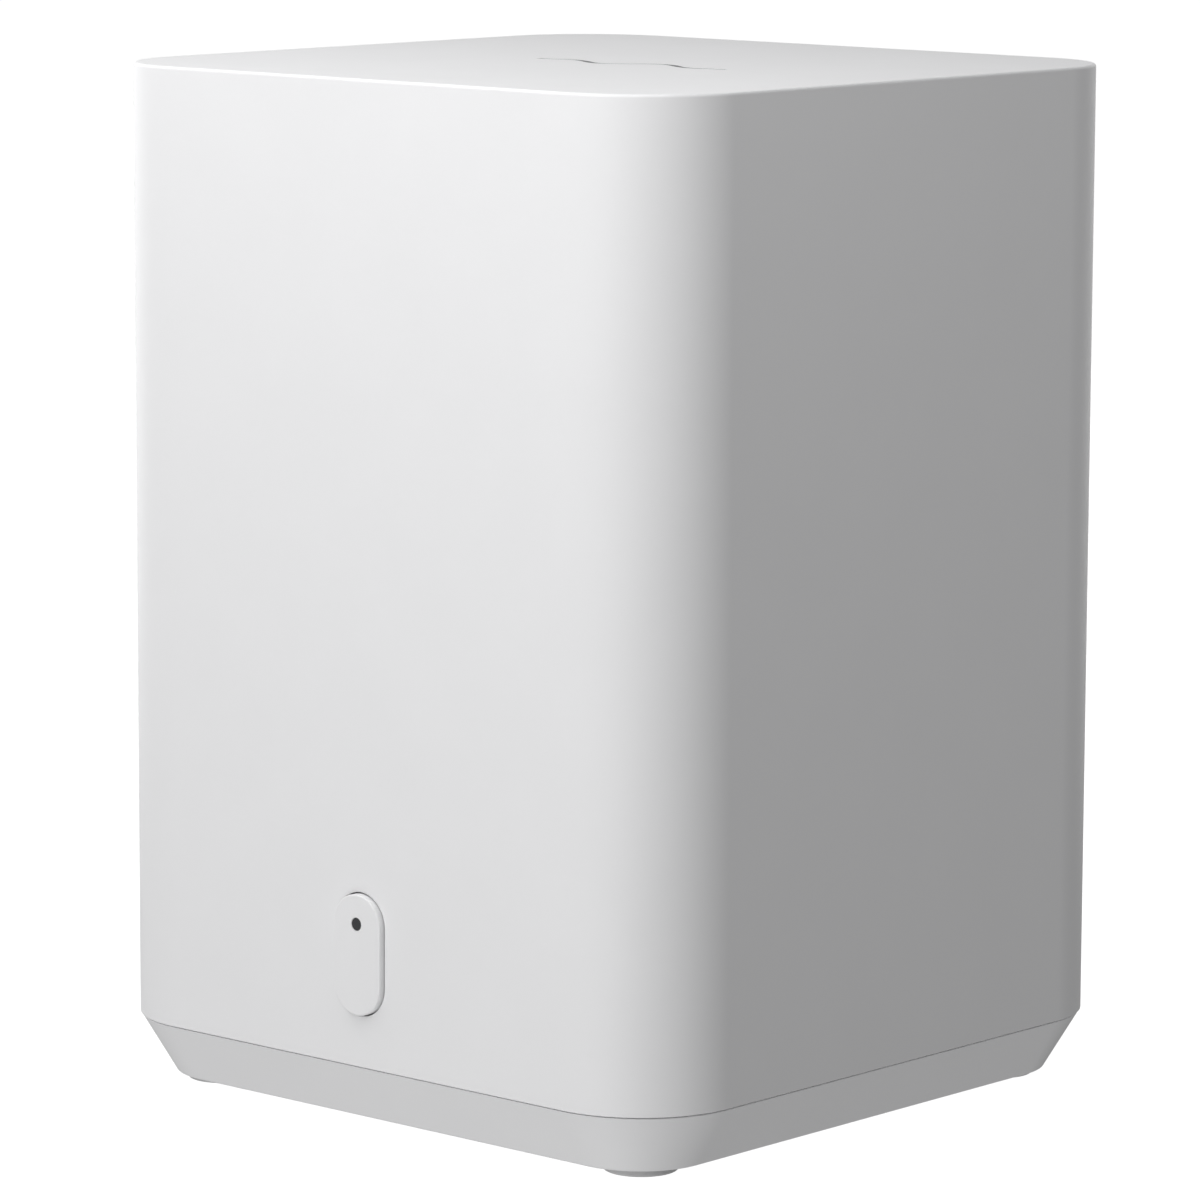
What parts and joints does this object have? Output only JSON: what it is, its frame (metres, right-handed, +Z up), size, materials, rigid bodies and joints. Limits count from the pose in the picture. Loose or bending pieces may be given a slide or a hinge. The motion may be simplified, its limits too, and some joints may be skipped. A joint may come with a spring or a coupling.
{
  "type": "wireless router",
  "caption": "White tower-shaped wireless router with a chamfered base, a pill-shaped front pairing button and rear network and power sockets.",
  "frame": {"origin": "on the table, under the middle of the body, at the underside of the rubber feet", "axes": "+Z up, the pairing button faces -Y, the connectors face +Y, +X to the right as seen from the front"},
  "size_m": [0.11, 0.1089, 0.1513],
  "materials": {
    "housing_abs": "fine moulded texture, satin",
    "base_abs": "fine moulded texture, satin",
    "button_abs": "smooth moulded, satin",
    "mark_ink": "printed ink in a shallow groove",
    "foot_rubber": "matt moulded silicone rubber, pale grey",
    "label_film": "plain satin film",
    "zinc_steel": "zinc plated",
    "lens_pc": "smoked, polished",
    "light_guide_acrylic": "clear acrylic",
    "black_nylon": "moulded, satin",
    "panel_abs": "fine moulded texture, satin",
    "jack_tin": "tin plated sheet",
    "contact_gold": "gold plated",
    "circuit_board": "solder resist, semi gloss",
    "chip_epoxy": "moulded epoxy",
    "can_sleeve": "shrink sleeve",
    "thermal_silicone": "soft silicone",
    "sink_aluminium": "extruded, natural anodised",
    "frame_abs": "moulded, matt",
    "flat_cable": "polyester film",
    "lead_jacket": "extruded fluoropolymer",
    "led_lens": "clear epoxy"
  },
  "bodies": {
    "casing": {"housing": "housing_abs", "top_mark": "mark_ink", "base": "base_abs", "rubber_feet": "foot_rubber", "rating_label": "label_film", "base_screws": "zinc_steel", "button_retainer": "panel_abs", "button_switch": "black_nylon", "status_led": "led_lens", "button_board": "circuit_board", "button_board_screws": "zinc_steel", "button_cable": "flat_cable", "cable_connectors": "flat_cable", "port_panel": "panel_abs", "power_inlet": "black_nylon", "power_inlet_pin": "contact_gold", "power_inlet_spring": "contact_gold", "reset_switch": "black_nylon", "main_board": "circuit_board", "board_screws": "zinc_steel", "processor": "chip_epoxy", "memory_chip": "chip_epoxy", "flash_chip": "chip_epoxy", "radio_chip_1": "chip_epoxy", "radio_chip_2": "chip_epoxy", "network_chip": "chip_epoxy", "processor_shield": "jack_tin", "radio_shield": "jack_tin", "power_coils": "chip_epoxy", "smoothing_capacitors": "can_sleeve", "thermal_pads": "thermal_silicone", "heat_sink": "sink_aluminium", "heat_sink_spacers": "contact_gold", "heat_sink_screws": "zinc_steel", "inner_frame": "frame_abs", "frame_screws": "zinc_steel", "aerial_left": "circuit_board", "aerial_right": "circuit_board", "aerial_front": "circuit_board", "aerial_rear": "circuit_board", "aerial_sockets": "contact_gold", "aerial_plugs": "contact_gold", "aerial_lead_left": "lead_jacket", "aerial_lead_right": "lead_jacket", "aerial_lead_front": "lead_jacket", "aerial_lead_rear": "lead_jacket", "ethernet_shell_1": "jack_tin", "ethernet_insert_1": "black_nylon", "ethernet_contacts_1": "contact_gold", "ethernet_shell_2": "jack_tin", "ethernet_insert_2": "black_nylon", "ethernet_contacts_2": "contact_gold", "ethernet_shell_3": "jack_tin", "ethernet_insert_3": "black_nylon", "ethernet_contacts_3": "contact_gold"},
    "front_button": {"button_cap": "button_abs", "button_lens": "lens_pc", "button_light_guide": "light_guide_acrylic", "button_switch_plunger": "black_nylon"},
    "reset_button": {"reset_plunger": "black_nylon"}
  },
  "joints": [
    {"name": "front_button_press", "type": "slide", "parent": "casing", "child": "front_button", "axis": [0, 1, 0], "range_m": [0, 0.0005], "stiffness_N_per_m": 3000},
    {"name": "reset_button_press", "type": "slide", "parent": "casing", "child": "reset_button", "axis": [0, -1, 0], "range_m": [0, 0.0004], "stiffness_N_per_m": 3000}
  ]
}
